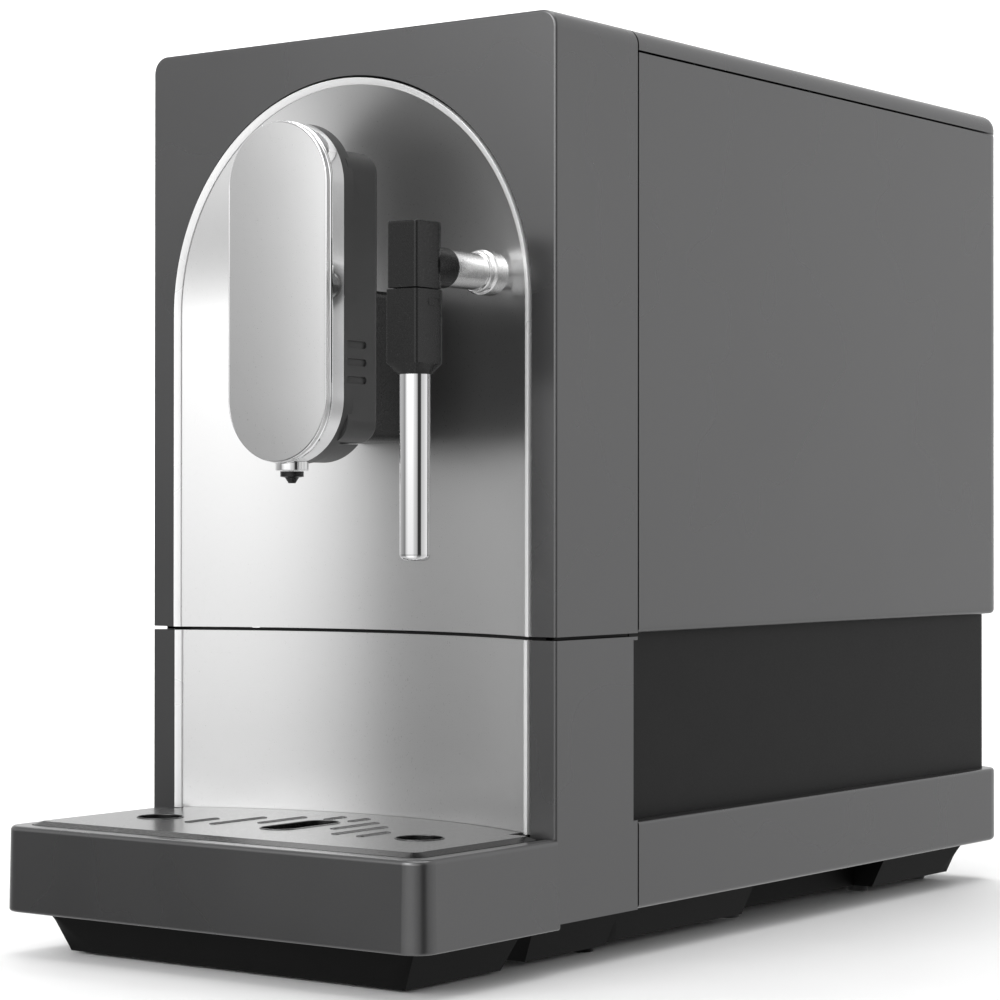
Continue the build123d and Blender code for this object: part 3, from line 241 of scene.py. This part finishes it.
MATERIALS = {
    "body_paint": body_paint(),
    "satin_steel": satin_steel(),
    "bright_trim": polished(),
    "matt_black": moulded("matt_black", grey(0.007), grey(0.010), 0.4, 0.52, shine=0.14),
    "spout_grey": moulded("spout_grey", grey(0.036), grey(0.044), 0.32, 0.42, shine=0.4),
    "silver": silver(),
    "rubber": moulded("rubber", grey(0.012), grey(0.02), 0.6, 0.8, 1400.0, 0.4),
    "gloss_black": moulded("gloss_black", grey(0.006), grey(0.008), 0.06, 0.1, 500.0, 0.01),
    "button_cap": moulded("button_cap", grey(0.02), grey(0.026), 0.22, 0.3, 2000.0, 0.1),
    "clear_plastic": clear("clear_smoke", (0.78, 0.83, 0.85)),
    "tank_lid_plastic": moulded("tank_lid_plastic", grey(0.03), grey(0.036), 0.35, 0.45),
    "inner_plastic": moulded("inner_plastic", grey(0.16), grey(0.2), 0.4, 0.5),
    "inner_metal": moulded("cast_metal", grey(0.4), grey(0.5), 0.35, 0.5, 700.0, 0.3, 1.0),
    "burr_steel": moulded("burr_steel", grey(0.42), grey(0.5), 0.22, 0.34, 900.0, 0.1, 1.0),
    "hose": moulded("hose", grey(0.6), grey(0.66), 0.3, 0.4, 300.0, 0.05),
    "board": board(),
    "inlet_black": moulded("inlet_black", grey(0.011), grey(0.015), 0.25, 0.38),
    "screw_steel": moulded("screw_steel", grey(0.3), grey(0.4), 0.25, 0.4, 1200.0, 0.1, 1.0),
}
TRAY_STEEL = tray_steel()
TRIM_SATIN = trim_satin()
WAND_BLACK = moulded("wand_black", grey(0.006), grey(0.009), 0.2, 0.32, 2200.0, 0.35, shine=0.32)
# painted shade: a darker, duller copy of the matt black for the chassis parts, standing in for the shade
# under the tray
SHADED_CHASSIS_BLACK = moulded("chassis_black_shaded", grey(0.003), grey(0.005), 0.5, 0.6, shine=0.06)


def dress_nodes():
    """Gives every CAD node the material of its slot in the record."""
    for part in frame["record"]["subparts"]:
        mesh = nodes[part["node"]].data
        material = MATERIALS[part["material_slot"]]
        for index in range(len(mesh.materials)):
            mesh.materials[index] = material
        if not mesh.materials:
            mesh.materials.append(material)
    nodes["drip_plate"].data.materials[0] = TRAY_STEEL
    for name in ("wand_head", "wand_grip", "spout_nozzle", "spout_bracket"):
        nodes[name].data.materials[0] = WAND_BLACK
    # the chassis parts get the darker black copy, which is painted shade
    for name in ("chassis_base", "drawer_chassis"):
        nodes[name].data.materials[0] = SHADED_CHASSIS_BLACK


# ---------------------------------------------------------------- pieces
def new_piece(name, mesh, material, body, smooth=True):
    """Makes a mesh object of a bmesh and lets it ride on a body."""
    for face in mesh.faces:
        face.smooth = smooth
    bmesh.ops.recalc_face_normals(mesh, faces=mesh.faces)
    data = bpy.data.meshes.new(name)
    mesh.to_mesh(data)
    mesh.free()
    data.materials.append(material)
    piece = bpy.data.objects.new(name, data)
    scene.collection.objects.link(piece)
    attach(piece, body)
    return piece


def stadium_points(half, low, high, steps=24):
    """A slot outline in its own plane: width 2 x half along u, from low to high along v."""
    points = []
    for centre, start in ((high - half, 0.0), (low + half, math.pi)):
        for i in range(steps + 1):
            angle = start + math.pi * i / steps
            points.append((half * math.cos(angle), centre + half * math.sin(angle)))
    return points


def add_tube(mesh, points, radius, normal, closed=True, sides=8):
    """A round bead along a flat path; normal is the direction square to the path's plane."""
    count = len(points)
    rings = []
    for i, point in enumerate(points):
        before = points[i - 1] if closed or i else point
        after = points[(i + 1) % count] if closed or i < count - 1 else point
        side = (after - before).normalized().cross(normal)
        ring = []
        for k in range(sides):
            angle = 2 * math.pi * k / sides
            outward = math.cos(angle) * normal + math.sin(angle) * side
            ring.append(mesh.verts.new(point + radius * outward))
        rings.append(ring)
    for i in range(count if closed else count - 1):
        first, second = rings[i], rings[(i + 1) % count]
        for k in range(sides):
            n = (k + 1) % sides
            mesh.faces.new((first[k], first[n], second[n], second[k]))
    if not closed:
        mesh.faces.new(rings[0])
        mesh.faces.new(rings[-1])


def spout_face():
    """The spout's steel plate with a slight crown, and its thin polished edge."""
    low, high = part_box("spout_plate")
    half = (high.x - low.x) / 2
    outline = stadium_points(half - 0.45 * MM, low.z + 0.45 * MM, high.z - 0.45 * MM, 40)
    reach = half - 0.45 * MM
    mesh = bmesh.new()
    rings = []
    for step in range(1, 13):
        part = step / 12
        ring = []
        for x, z in outline:
            core = min(max(z, low.z + half), high.z - half)
            u, w = x * part, core + (z - core) * part
            crown = (1 - (u / reach) ** 2) * (1 - 0.3 * ((w - core) / reach) ** 2)
            y = low.y + 0.02 * MM - 0.75 * MM * crown
            ring.append(mesh.verts.new((u, y, w)))
        rings.append(ring)
    for inner, outer in zip(rings, rings[1:]):
        for k in range(len(outline)):
            n = (k + 1) % len(outline)
            mesh.faces.new((inner[k], inner[n], outer[n], outer[k]))
    mesh.faces.new(rings[0])
    piece = new_piece("spout_face_sheet", mesh, MATERIALS["satin_steel"], "spout")
    edge = bmesh.new()
    rim = stadium_points(half - 0.32 * MM, low.z + 0.32 * MM, high.z - 0.32 * MM, 40)
    add_tube(edge, [Vector((x, low.y + 0.3 * MM, z)) for x, z in rim], 0.36 * MM, Vector((0, -1, 0)))
    piece = new_piece("spout_face_edge", edge, MATERIALS["bright_trim"], "spout")


TRIM_GAP = 0.35 * MM


def sweep_trim(mesh, path, section):
    """Sweeps a section of (radius, y) along a path of (centre, outward direction)."""
    rows = []
    for centre, outward in path:
        places = [centre + outward * radius + Vector((0, y, 0)) for radius, y in section]
        rows.append([mesh.verts.new(place) for place in places])
    for first, second in zip(rows, rows[1:]):
        for k in range(len(section) - 1):
            mesh.faces.new((first[k], first[k + 1], second[k + 1], second[k]))
    mesh.faces.new(rows[0])
    mesh.faces.new(rows[-1])


def trim_profile(outer, face_y):
    """The bright trim's section: inner wall, shallow bevel into the niche, lip, outer wall."""
    inner, lip = outer - 2.6 * MM, outer - TRIM_GAP
    return [
        (inner, face_y + 2.3 * MM), (inner, face_y + 0.5 * MM),
        (inner + 0.15 * MM, face_y + 0.32 * MM), (lip - 0.25 * MM, face_y - 0.82 * MM),
        (lip - 0.1 * MM, face_y - 0.85 * MM), (lip, face_y - 0.7 * MM), (lip, face_y + 2.3 * MM)]


def bright_trims():
    """The bevelled bright trims round the niche and beside the lower panel."""
    face_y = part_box("front_frame")[0].y
    low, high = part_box("arch_trim")
    centre_z = high.z - high.x
    path = [(Vector((0, 0, low.z)), Vector((1, 0, 0)))]
    for i in range(97):
        angle = math.pi * i / 96
        path.append((Vector((0, 0, centre_z)), Vector((math.cos(angle), 0, math.sin(angle)))))
    path.append((Vector((0, 0, low.z)), Vector((-1, 0, 0))))
    mesh = bmesh.new()
    sweep_trim(mesh, path, trim_profile(high.x, face_y))
    upper = new_piece("niche_trim", mesh, TRIM_SATIN, "root")
    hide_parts("arch_trim")
    low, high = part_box("lower_trim")
    mesh = bmesh.new()
    for side in (-1, 1):
        path = [(Vector((0, 0, z)), Vector((side, 0, 0))) for z in (low.z, high.z)]
        sweep_trim(mesh, path, trim_profile(high.x, face_y))
    lower = new_piece("lower_panel_trim", mesh, TRIM_SATIN, "drawer")
    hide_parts("lower_trim")
    for piece in (upper, lower):
        piece.data.set_sharp_from_angle(angle=math.radians(20))


# the drip plate's openings in millimetres: distance from the middle, front end, rear end
SLOTS = ((5.4, -129.0, -119.0), (16.2, -151.5, -127.5), (27.0, -164.0, -136.5), (38.0, -164.5, -149.0))
SLOT_HALF = 1.25
CENTRE_HOLE = (6.8, -166.5, -131.9)
ROUND_HOLE = (8.0, -165.0, -149.0)
ROUND_HOLE_X = 57.4
LIP_RADIUS = 0.32


def plate_lips():
    """Pressed lips round the drip plate's slots and holes."""
    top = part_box("drip_plate")[1].z
    mesh = bmesh.new()

    def lip(x, half, low, high, steps):
        path = stadium_points(half * MM, low * MM, high * MM, steps)
        points = [Vector((x * MM + u, v, top)) for u, v in path]
        add_tube(mesh, points, LIP_RADIUS * MM, Vector((0, 0, 1)), sides=6)

    for x, low, high in SLOTS:
        for side in (-1, 1):
            lip(side * x, SLOT_HALF, low - 0.35, high + 0.35, 8)
    lip(0, *CENTRE_HOLE, 20)
    for x in (-ROUND_HOLE_X, ROUND_HOLE_X):
        lip(x, *ROUND_HOLE, 24)
    piece = new_piece("drip_plate_lips", mesh, TRAY_STEEL, "drip_plate")


def seam_shade_strips():
    """Black strips inside the front frame, which keep light out of the joint above the drawer; their
    black is painted shade standing in for the shade in the joint.
    """
    low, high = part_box("front_frame")
    drawer_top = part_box("lower_front")[1].z
    mesh = bmesh.new()
    size = Vector((0.8 * MM, high.y - low.y - 5 * MM, 2.6 * MM))
    for wall in (low.x + 3.8 * MM, high.x - 3.8 * MM):
        centre = Vector((wall, (low.y + high.y) / 2 + 1.3 * MM, drawer_top + 0.05 * MM + size.z / 2))
        placed = Matrix.Translation(centre) @ Matrix.Diagonal((*size, 1.0))
        bmesh.ops.create_cube(mesh, size=1.0, matrix=placed)
    # matt black strips: painted shade in the joint above the drawer
    piece = new_piece("seam_shade_strips", mesh, MATERIALS["matt_black"], "root", smooth=False)


def grip_mark():
    """The small raised outline on the right of the wand's grip."""
    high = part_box("wand_grip")[1]
    mesh = bmesh.new()
    path = stadium_points(1.25 * MM, -1.0 * MM, 5.0 * MM, 8)
    points = [Vector((high.x, -0.1625 + v, 0.2208 + u)) for u, v in path]
    add_tube(mesh, points, 0.22 * MM, Vector((1, 0, 0)), sides=6)
    piece = new_piece("wand_grip_mark", mesh, WAND_BLACK, "wand")


def symbol_lines(kind):
    """Flat line symbols in millimetres, each a list of points and whether it closes."""
    turns = [math.radians(40 + 14 * i) for i in range(21)]
    arc = [(2.6 * math.sin(a), 2.6 * math.cos(a)) for a in turns]
    cup = [(-2.2, 1.6), (-1.8, -1.4), (-1.2, -2.0), (1.2, -2.0), (1.8, -1.4), (2.2, 1.6)]
    handle = [(2.1, 1.0), (3.2, 0.8), (3.2, -0.5), (1.95, -0.8)]
    wave = [(0.5 * math.sin(t * 0.9), -2.4 + 0.6 * t) for t in range(9)]
    waves = [[(x + u, v) for u, v in wave] for x in (-1.8, 0.0, 1.8)]
    small, small_handle = ([(0.7 * x, 0.7 * y - 0.8) for x, y in line] for line in (cup, handle))
    return {
        "power": [(arc, False), ([(0, 3.2), (0, 0.6)], False)],
        "coffee": [(cup, True), (handle, False)],
        "espresso": [(small, True), (small_handle, False), ([(0, 3.2), (0, 1.4)], False)],
        "steam": [(wave, False) for wave in waves],
    }[kind]


def button_symbols():
    """Plain printed symbols on the buttons and a small lamp in front of each."""
    print_white = moulded("symbol_print", grey(0.6), grey(0.66), 0.4, 0.5)
    lamp_white = glowing("lamp_white", (0.7, 0.75, 0.8), 0.6)
    strip_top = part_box("control_strip")[1].z
    lamps = bmesh.new()
    for kind in ("power", "coffee", "espresso", "steam"):
        low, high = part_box(f"button_{kind}")
        centre = (low + high) / 2
        mesh = bmesh.new()
        for line, closed in symbol_lines(kind):
            points = [Vector((centre.x + u * MM, centre.y + v * MM, high.z)) for u, v in line]
            add_tube(mesh, points, 0.22 * MM, Vector((0, 0, 1)), closed, sides=6)
        piece = new_piece(f"symbol_{kind}", mesh, print_white, f"button_{kind}")
        spot = Vector((centre.x, centre.y - 9.6 * MM, strip_top - 0.1 * MM))
        bmesh.ops.create_cone(lamps, cap_ends=True, segments=20, radius1=0.8 * MM, radius2=0.7 * MM,
                              depth=0.3 * MM, matrix=Matrix.Translation(spot))
    piece = new_piece("strip_lamps", lamps, lamp_white, "root", smooth=False)


# ---------------------------------------------------------------- floor, light and camera
LENS = 104.79                                # mm, on a sensor 36 mm wide
EYE = (0.64105, -0.91055, 0.14959)           # the camera's place
EYE_TURN = (90.352, -0.027, 36.179)          # and its rotation, in degrees


def make_floor():
    """A pale floor that curves up into a backdrop far behind the object."""
    front, back, side, height, bend = -2.5, 3.2, 4.0, 3.0, 0.9
    profile = [(front, 0.0), (back - bend, 0.0)]
    steps = 16
    for i in range(1, steps + 1):
        angle = math.pi / 2 * i / steps
        profile.append((back - bend + bend * math.sin(angle), bend * (1 - math.cos(angle))))
    profile.append((back, height))
    mesh = bmesh.new()
    rows = [[mesh.verts.new((x, y, z)) for y, z in profile] for x in (-side, side)]
    for i in range(len(profile) - 1):
        mesh.faces.new((rows[1][i], rows[0][i], rows[0][i + 1], rows[1][i + 1])).smooth = True
    data = bpy.data.meshes.new("floor")
    mesh.to_mesh(data)
    floor = bpy.data.objects.new("floor", data)
    scene.collection.objects.link(floor)
    s = Shader("pale_floor")
    s.colours(s.noise(6.0, 3.0), grey(0.86), grey(0.88))
    s.rough(s.noise(40.0), 0.6, 0.7)
    data.materials.append(s.material)
    # the backdrop stands square to the camera
    floor.rotation_euler = (0, 0, math.radians(36.18))
    floor.visible_glossy = False


def area_light(name, place, target, size, power):
    """A soft rectangular lamp at a place, aimed at a target."""
    light = bpy.data.lights.new(name, "AREA")
    light.shape = "RECTANGLE"
    light.size, light.size_y = size
    light.energy = power
    lamp = bpy.data.objects.new(name, light)
    lamp.location = place
    lamp.rotation_euler = (Vector(target) - Vector(place)).to_track_quat("-Z", "Y").to_euler()
    scene.collection.objects.link(lamp)


AZIMUTH_STOPS = (
    # degrees to the right of straight in front of the machine, brightness there
    (-180, 1.0), (-128, 1.3), (-108, 0.9), (-88, 0.6), (-66, 0.52), (-52, 0.42), (-43, 0.33), (-37, 0.5),
    (-28, 1.05), (-10, 1.4), (20, 1.38), (38, 0.9), (54, 0.6), (61, 0.04), (80, 0.04), (90, 0.7),
    (144, 1.05), (179, 1.0),
)
FRONT_WEIGHT = ((-180, 0.0), (-100, 0.0), (-62, 1.0), (30, 1.0), (80, 0.0), (180, 0.0))
FRONT_HEIGHT_STOPS = (
    # sine of the elevation, brightness of the studio in front
    (-1.0, 1.0), (-0.5, 1.1), (-0.3, 0.6), (-0.12, 0.32), (-0.03, 0.66), (0.06, 0.95), (0.13, 1.6),
    (0.3, 1.9), (0.75, 1.0), (1.0, 0.8),
)
REST_HEIGHT_STOPS = (
    # the same at the sides and behind
    (-1.0, 0.9), (-0.4, 0.85), (-0.12, 0.78), (-0.03, 0.9), (0.1, 0.92), (0.4, 1.0), (1.0, 0.8),
)


class WorldNodes:
    """Short ways to wire the world's maths."""

    def __init__(self, tree):
        self.tree = tree

    def maths(self, operation, first, second):
        made = self.tree.nodes.new("ShaderNodeMath")
        made.operation = operation
        for socket, value in zip(made.inputs, (first, second)):
            if isinstance(value, float):
                socket.default_value = value
            else:
                self.tree.links.new(value, socket)
        return made.outputs[0]

    def graph(self, source, low, high, points, top=3.0):
        """A smooth graph through points, read between low and high; top is the most it gives."""
        ranged = self.tree.nodes.new("ShaderNodeMapRange")
        ranged.inputs["From Min"].default_value = low
        ranged.inputs["From Max"].default_value = high
        self.tree.links.new(source, ranged.inputs["Value"])
        ramp = self.tree.nodes.new("ShaderNodeValToRGB")
        ramp.color_ramp.interpolation = "EASE"
        stops = ramp.color_ramp.elements
        stops[0].position = 0.0
        stops[1].position = 1.0
        for place, _ in points[1:-1]:
            stops.new((place - low) / (high - low))
        for stop, (_, level) in zip(stops, points):
            stop.color = (*grey(level / top), 1.0)
        self.tree.links.new(ranged.outputs["Result"], ramp.inputs["Fac"])
        return self.maths("MULTIPLY", ramp.outputs["Color"], top)


def make_world():
    """A studio round the object: brightness by compass direction and by height."""
    world = bpy.data.worlds.new("studio")
    scene.world = world
    world.use_nodes = True
    tree = world.node_tree
    nodes_of = WorldNodes(tree)
    place = tree.nodes.new("ShaderNodeTexCoord").outputs["Generated"]
    split = tree.nodes.new("ShaderNodeSeparateXYZ")
    tree.links.new(place, split.inputs["Vector"])
    front = nodes_of.maths("MULTIPLY", split.outputs["Y"], -1.0)
    azimuth = nodes_of.maths("ARCTAN2", split.outputs["X"], front)
    degrees = nodes_of.maths("MULTIPLY", azimuth, 180.0 / math.pi)
    across = nodes_of.graph(degrees, -180.0, 180.0, AZIMUTH_STOPS)
    upward_front = nodes_of.graph(split.outputs["Z"], -1.0, 1.0, FRONT_HEIGHT_STOPS)
    upward_rest = nodes_of.graph(split.outputs["Z"], -1.0, 1.0, REST_HEIGHT_STOPS)
    weight = nodes_of.graph(degrees, -180.0, 180.0, FRONT_WEIGHT)
    gain = nodes_of.maths("MULTIPLY", nodes_of.maths("SUBTRACT", upward_front, upward_rest), weight)
    upward = nodes_of.maths("ADD", upward_rest, gain)
    # straight up and down the compass direction stops mattering
    steep = nodes_of.maths("POWER", nodes_of.maths("ABSOLUTE", split.outputs["Z"], 0.0), 1.5)
    even = nodes_of.maths("MULTIPLY", nodes_of.maths("SUBTRACT", 0.75, across), steep)
    level = nodes_of.maths("MULTIPLY", nodes_of.maths("ADD", across, even), upward)
    tree.nodes["Background"].inputs["Color"].default_value = (1.0, 1.0, 1.0, 1.0)
    tree.links.new(level, tree.nodes["Background"].inputs["Strength"])


def make_camera():
    """The camera, low and to the right of the machine's front."""
    camera = bpy.data.cameras.new("camera")
    camera.sensor_width = 36.0
    camera.lens = LENS
    camera.shift_y = 0.0028
    camera.clip_end = 50.0
    eye = bpy.data.objects.new("camera", camera)
    eye.location = EYE
    eye.rotation_euler = [math.radians(angle) for angle in EYE_TURN]
    scene.collection.objects.link(eye)
    scene.camera = eye


dress_nodes()
bright_trims()
spout_face()
plate_lips()
seam_shade_strips()
grip_mark()
button_symbols()
make_floor()
make_world()
area_light("key", (-0.35, -1.9, 1.3), (0, -0.1, 0.2), (1.2, 1.2), 14.0)
area_light("top", (0.1, 0.2, 1.9), (0, 0, 0.1), (1.6, 1.6), 18.0)
area_light("backdrop_light", (-1.3, 1.2, 2.2), (-1.6, 2.6, 0.6), (2.5, 1.0), 60.0)
make_camera()
scene.view_settings.view_transform = "Standard"
